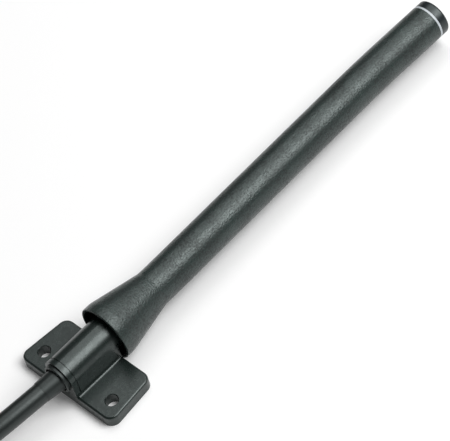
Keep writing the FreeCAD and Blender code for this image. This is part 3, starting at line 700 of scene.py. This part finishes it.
def woven_nylon(name, base):
    """Woven nylon strap with a pile of fine loops, dull and soft to the eye. Its UV lengths are
    metres along the strap and round its section. Its threads cross every millimetre, drawn about
    twice as coarse as real ones so that they show, and the pile breaks them up."""
    made, tree = new_material(name)
    place = node(tree, "ShaderNodeUVMap").outputs["UV"]
    threads = {"Vector": place, "Scale": 1 / (3.2 * MM), "Distortion": 0.6}
    warp = node(tree, "ShaderNodeTexWave", threads, bands_direction="X")
    weft = node(tree, "ShaderNodeTexWave", threads, bands_direction="Y")
    pile = node(tree, "ShaderNodeTexNoise", {"Vector": place, "Scale": 1 / (0.3 * MM), "Detail": 4.0})
    weave = node(tree, "ShaderNodeMath", {0: warp.outputs["Fac"], 1: weft.outputs["Fac"]},
                 operation="MULTIPLY")
    rough = node(tree, "ShaderNodeMath", {0: weave.outputs[0], 1: pile.outputs["Fac"]}, operation="ADD")
    relief = node(tree, "ShaderNodeBump", {"Height": rough.outputs[0], "Distance": 0.05 * MM})
    shade = tint(tree, pile.outputs["Fac"], base, 0.6, 1.5)
    skin = node(tree, "ShaderNodeBsdfPrincipled", {
        "Base Color": shade, "Roughness": 0.85, "Sheen Weight": 0.25, "Sheen Roughness": 0.4,
        "Normal": relief.outputs["Normal"],
    })
    node(tree, "ShaderNodeOutputMaterial", {"Surface": skin.outputs["BSDF"]})
    return made


class ANTENNA_OT_strap(bpy.types.Operator):
    """Wind the woven strap round the coil, with its end lying over its start"""

    bl_idname = "antenna.strap"
    bl_label = "Strap"

    def execute(self, context):
        size = context.scene.antenna_cable
        half = size.strap_thickness / 2
        low, high = node_low("coil_tie") + half, node_high("coil_tie") - half
        middle = (low[1] + high[1]) / 2
        # The strap's path is the tie's rounded outline in Y and Z, once round and on over its start.
        # A flat rounded section is carried along it, across X and along the path's outward normal,
        # and a smooth step lifts it by one thickness and the gap where it reaches the start.
        loop = divided(rounded_outline([
            (middle - size.strap_overlap / 2, high[2], 0),
            (high[1], high[2], STRAP_CORNER),
            (high[1], low[2], STRAP_CORNER),
            (low[1], low[2], STRAP_CORNER),
            (low[1], high[2], STRAP_CORNER),
        ]), 0.5 * MM)
        over = loop[: np.argmax(loop[:, 0] > middle + size.strap_overlap / 2)]
        path = np.vstack([loop, over])
        leg = np.linalg.norm(np.diff(path, axis=0), axis=1)
        along = np.append(0, np.cumsum(leg))
        risen = smooth_step((along - along[len(loop)] + STRAP_RISE_LEAD) / STRAP_RISE_LENGTH)
        lift = risen * (size.strap_thickness + STRAP_GAP)
        heading = np.gradient(path, along, axis=0)
        heading /= np.linalg.norm(heading, axis=1)[:, None]
        outward = np.stack([-heading[:, 1], heading[:, 0]], axis=1)
        wide = size.strap_width / 2
        section = divided(rounded_outline([
            (-wide, half, 0.6 * half), (wide, half, 0.6 * half),
            (wide, -half, 0.6 * half), (-wide, -half, 0.6 * half),
        ], arc_steps=3), 0.5 * MM)
        across = (low[0] + high[0]) / 2 + section[:, 0]
        stand = path[:, None, :] + outward[:, None, :] * (lift[:, None] + section[:, 1])[:, :, None]
        points = np.concatenate([np.broadcast_to(across, stand.shape[:2])[:, :, None], stand], axis=2)
        around = np.append(0, np.cumsum(np.linalg.norm(np.roll(section, -1, axis=0) - section, axis=1)))
        material = woven_nylon("woven_hook_and_loop", context.scene.antenna_finish.strap)
        strap = grid_piece("woven_strap", points, material, closed_rows=False, uv=(along, around))
        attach(strap, "mount")
        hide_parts("coil_tie")
        return {"FINISHED"}


class ANTENNA_OT_plug(bpy.types.Operator):
    """Cut the threaded hexagonal coupling nut, and finish the plug and its boot"""

    bl_idname = "antenna.plug"
    bl_label = "Coupling plug"

    def execute(self, context):
        size = context.scene.antenna_thread
        colours = context.scene.antenna_finish
        # Bright nickel over turned brass, its lathe rings round the plug's own axis
        nickel = plated("nickel_plated_plug", colours.nickel, 0.3, PLUG_YAW)
        flat = size.nut_flats / 2
        corner = flat / math.cos(math.pi / 6)
        start, lip_end, end = NUT_START, NUT_START + 1.5 * MM, NUT_START + size.nut_length
        lip = 2.7 * MM
        bore = size.diameter / 2 + TURN_CLEARANCE
        outline = rounded_outline([
            (start, lip, 0),
            (start, flat, 0.08 * MM),
            (start + corner - flat, corner, 0.2 * MM),
            (end - corner + flat, corner, 0.2 * MM),
            (end, flat, 0.08 * MM),
            (end, bore, 0.1 * MM),
            (lip_end, bore, 0),
            (lip_end, lip, 0),
        ], arc_steps=4)
        thread_start = lip_end + 2.9 * MM
        threaded = inner_thread(size, bore, thread_start, end - 0.1 * MM)

        # The flats cut the radius back to half the width over the cosine of the angle from the
        # middle of the nearest flat
        def hexagonal(distance, radius, angle):
            flats = flat / np.cos(angle % (math.pi / 3) - math.pi / 6)
            return np.minimum(threaded(distance, radius, angle), flats)

        axis = straight_axis(PLUG_START, PLUG_YAW)
        points = carried(divided(outline, size.pitch / 14), axis, size.segments, hexagonal)
        nut = grid_piece("coupling_nut", points, nickel)
        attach(nut, "nut")
        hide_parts("plug_nut")
        finish(nickel, "plug_body", "plug_ferrule", "plug_snap_ring")
        # Thin gold over a polished pin: the brightest of the plated parts
        pin_gold = plated("gold_plated_pin", colours.gold, 0.2, PLUG_YAW)
        finish(pin_gold, "plug_pin")
        finish(waxy_plastic("turned_ptfe_sleeve", PTFE_WHITE), "plug_insulator")
        finish(silicone("moulded_silicone_gasket"), "plug_gasket")
        # Soft PVC from a satin mould: dark, with a broad dull highlight
        boot = plastic("moulded_soft_pvc_boot", colours.bush, roughness=0.42, spread=0.25,
                       grain=0.3 * MM, depth=0.008 * MM, cloud=4 * MM)
        finish(boot, "plug_boot")
        return {"FINISHED"}


class ANTENNA_OT_cable(bpy.types.Operator):
    """Lay the cable from the mount, through its oval coil, to the plug"""

    bl_idname = "antenna.cable"
    bl_label = "Cable"

    def execute(self, context):
        sizes = context.scene.antenna_cable
        # Extruded PVC: nearly black, smooth, with one soft highlight along it
        material = plastic("pvc_cable_jacket", context.scene.antenna_finish.cable,
                           roughness=0.4, spread=0.3, grain=0.3 * MM, depth=0.008 * MM, cloud=9 * MM)
        finish(material, "cable_inside", "plug_cable_end")
        points = cable_route(sizes)
        line = bpy.data.curves.new("cable_jacket", "CURVE")
        line.dimensions = "3D"
        spline = line.splines.new("NURBS")
        spline.points.add(len(points) - 1)
        spline.points.foreach_set("co", np.insert(points, 3, 1.0, axis=1).ravel())
        spline.order_u = 3
        spline.use_endpoint_u = True
        spline.resolution_u = 6
        line.bevel_depth = sizes.diameter / 2
        line.bevel_resolution = 10
        line.use_fill_caps = True
        line.materials.append(material)
        cable = bpy.data.objects.new("cable_jacket", line)
        context.scene.collection.objects.link(cable)
        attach(cable, "mount")
        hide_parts("cable", "cable_coil", "cable_tail")
        return {"FINISHED"}


def smooth_step(share):
    """0 below 0, 1 above 1, and a smooth rise between."""
    held = np.clip(share, 0, 1)
    return held * held * (3 - 2 * held)


def coil_turns(fold_radius, diameter):
    """The coil's turns as route points. The turn number runs evenly along an oval of two straights
    and two half circles; every point stands off from the oval's middle line by half a diameter and
    the crossovers' steps outwards, and over the floor by the lowest row and their steps upwards."""
    turns = len(COIL_STEPS) + 0.5
    turn = np.arange(int(turns * COIL_POINTS_PER_TURN) + 1) / COIL_POINTS_PER_TURN
    fold = math.pi * fold_radius
    along = (turn % 1.0) * 2 * (COIL_STRAIGHT + fold)
    outward = np.full_like(turn, diameter / 2)
    height = np.full_like(turn, COIL_LOW_Z)
    for number, (across, up) in enumerate(COIL_STEPS):
        middle = number + 1 + CROSSOVER_START + number * CROSSOVER_SPACING
        share = smooth_step((turn - middle) / (2 * CROSSOVER_HALF_WIDTH) + 0.5)
        outward += across * diameter * share
        height += up * diameter * share
    left_run = np.clip(along, 0, COIL_STRAIGHT)
    right_run = np.clip(along - COIL_STRAIGHT - fold, 0, COIL_STRAIGHT)
    left_fold = np.clip(along - COIL_STRAIGHT, 0, fold)
    right_fold = np.clip(along - 2 * COIL_STRAIGHT - fold, 0, fold)
    angle = math.pi / 2 + (left_fold + right_fold) / fold_radius
    radius = fold_radius + outward
    x = COIL_NEAR_X - left_run + right_run + radius * np.cos(angle)
    y = COIL_CENTRE_Y + radius * np.sin(angle)
    return np.stack([x, y, height], axis=1)


def cable_route(sizes):
    """Every point of the cable's route: the run to the coil, the turns, and the run to the plug."""
    start = np.stack([CABLE_EXIT, CABLE_EXIT + CABLE_HEADING * CABLE_FIRST_RUN])
    turns = coil_turns(sizes.fold_radius, sizes.diameter)
    leave = turns[-1] + np.array([COIL_LEAVE_RUN, 0.0, 0.0])
    return np.vstack([start, CABLE_RUN, turns, leave, TAIL_RUN, PLUG_APPROACH, PLUG_START])


class ANTENNA_OT_stage(bpy.types.Operator):
    """Set the white floor, the room's light, the softboxes and the camera"""

    bl_idname = "antenna.stage"
    bl_label = "Stage"

    def execute(self, context):
        stage = context.scene.antenna_stage
        lay_floor(context)
        light_room(context, stage.world)
        softbox(context, "key_softbox", KEY_DIRECTION, KEY_WIDTH, stage.key)
        softbox(context, "fill_softbox", FILL_DIRECTION, FILL_WIDTH, stage.fill)
        place_camera(context, stage)
        context.scene.view_settings.view_transform = "Standard"
        return {"FINISHED"}


def seen_ray(tree):
    """1 for rays from the camera and for reflected or refracted ones, 0 for the rays that light."""
    rays = node(tree, "ShaderNodeLightPath").outputs
    glossy = node(tree, "ShaderNodeMath", {0: rays["Is Camera Ray"], 1: rays["Is Glossy Ray"]},
                  operation="MAXIMUM")
    return node(tree, "ShaderNodeMath", {0: glossy.outputs[0], 1: rays["Is Transmission Ray"]},
                operation="MAXIMUM").outputs[0]


def lay_floor(context):
    """A wide white floor at the height of the mounting face, bright where it is seen."""
    reach = FLOOR_REACH
    corners = [(-reach, -reach, 0), (reach, -reach, 0), (reach, reach, 0), (-reach, reach, 0)]
    mesh = bpy.data.meshes.new("floor")
    mesh.from_pydata(corners, [], [(0, 1, 2, 3)])
    floor = bpy.data.objects.new("floor", mesh)
    context.scene.collection.objects.link(floor)
    made, tree = new_material("matt_white_floor")
    paint = node(tree, "ShaderNodeBsdfDiffuse", {"Color": hex_linear("#fbfbfb")})
    glow = node(tree, "ShaderNodeEmission", {"Color": hex_linear(WHITE), "Strength": FLOOR_GLOW})
    both = node(tree, "ShaderNodeAddShader", {0: paint.outputs[0], 1: glow.outputs[0]})
    pick = node(tree, "ShaderNodeMixShader", {0: seen_ray(tree), 1: paint.outputs[0], 2: both.outputs[0]})
    node(tree, "ShaderNodeOutputMaterial", {"Surface": pick.outputs[0]})
    mesh.materials.append(made)


def light_room(context, strength):
    """Even light from all around; the room is white where it is seen."""
    world = bpy.data.worlds.new("white_room")
    world.use_nodes = True
    tree = world.node_tree
    tree.nodes.clear()
    dim = node(tree, "ShaderNodeBackground", {"Color": hex_linear(WHITE), "Strength": strength})
    white = node(tree, "ShaderNodeBackground", {"Color": hex_linear(WHITE), "Strength": 1.0})
    camera_ray = node(tree, "ShaderNodeLightPath").outputs["Is Camera Ray"]
    pick = node(tree, "ShaderNodeMixShader", {0: camera_ray, 1: dim.outputs[0], 2: white.outputs[0]})
    node(tree, "ShaderNodeOutputWorld", {"Surface": pick.outputs[0]})
    context.scene.world = world


def softbox(context, name, direction, width, power):
    """A square soft lamp that shines on the object from a direction."""
    toward = np.array(direction) / np.linalg.norm(direction)
    lamp = bpy.data.lights.new(name, "AREA")
    lamp.shape = "SQUARE"
    lamp.size = width
    lamp.energy = power
    across = np.cross(UP, toward)
    across /= np.linalg.norm(across)
    turn = Matrix(np.stack([across, np.cross(toward, across), toward], axis=1).tolist())
    box = bpy.data.objects.new(name, lamp)
    context.scene.collection.objects.link(box)
    place = LAMP_AIM + toward * LAMP_DISTANCE
    box.matrix_world = Matrix.Translation(place.tolist()) @ turn.to_4x4()


def place_camera(context, stage):
    """The camera looks along its azimuth and elevation at the aim, and is then rolled."""
    back = np.array([
        math.sin(stage.azimuth) * math.cos(stage.elevation),
        -math.cos(stage.azimuth) * math.cos(stage.elevation),
        math.sin(stage.elevation),
    ])
    level = np.array([math.cos(stage.azimuth), math.sin(stage.azimuth), 0.0])
    right = math.cos(stage.roll) * level + math.sin(stage.roll) * np.cross(back, level)
    turn = Matrix(np.stack([right, np.cross(back, right), back], axis=1).tolist())
    lens = bpy.data.cameras.new("camera")
    lens.sensor_width = 36
    lens.lens = stage.lens
    lens.clip_start, lens.clip_end = 0.01, 20
    camera = bpy.data.objects.new("camera", lens)
    context.scene.collection.objects.link(camera)
    place = np.array(stage.aim) + stage.distance * back
    camera.matrix_world = Matrix.Translation(place.tolist()) @ turn.to_4x4()
    context.scene.camera = camera


GROUPS = {
    "antenna_sleeve": SleeveSettings,
    "antenna_thread": ThreadSettings,
    "antenna_cable": CableSettings,
    "antenna_finish": FinishSettings,
    "antenna_stage": StageSettings,
}
OPERATORS = (
    ANTENNA_OT_mount,
    ANTENNA_OT_jack,
    ANTENNA_OT_sleeve,
    ANTENNA_OT_tip,
    ANTENNA_OT_shell,
    ANTENNA_OT_radiator,
    ANTENNA_OT_strap,
    ANTENNA_OT_plug,
    ANTENNA_OT_cable,
    ANTENNA_OT_stage,
)


class ANTENNA_PT_panel(bpy.types.Panel):
    """Lists the pieces in the order in which they are built"""

    bl_idname = "ANTENNA_PT_panel"
    bl_label = "Whip antenna"
    bl_space_type = "VIEW_3D"
    bl_region_type = "UI"
    bl_category = "Antenna"

    def draw(self, context):
        for operator in OPERATORS:
            self.layout.operator(operator.bl_idname)


def register():
    for kind in (*GROUPS.values(), *OPERATORS, ANTENNA_PT_panel):
        bpy.utils.register_class(kind)
    for name, kind in GROUPS.items():
        setattr(bpy.types.Scene, name, PointerProperty(type=kind))


def unregister():
    for name in GROUPS:
        delattr(bpy.types.Scene, name)
    for kind in (*GROUPS.values(), *OPERATORS, ANTENNA_PT_panel):
        bpy.utils.unregister_class(kind)


def main():
    register()
    bpy.ops.antenna.mount()
    bpy.ops.antenna.jack()
    bpy.ops.antenna.sleeve()
    bpy.ops.antenna.tip()
    bpy.ops.antenna.shell()
    bpy.ops.antenna.radiator()
    bpy.ops.antenna.strap()
    bpy.ops.antenna.plug()
    bpy.ops.antenna.cable()
    bpy.ops.antenna.stage()


if __name__ == "__main__":
    main()
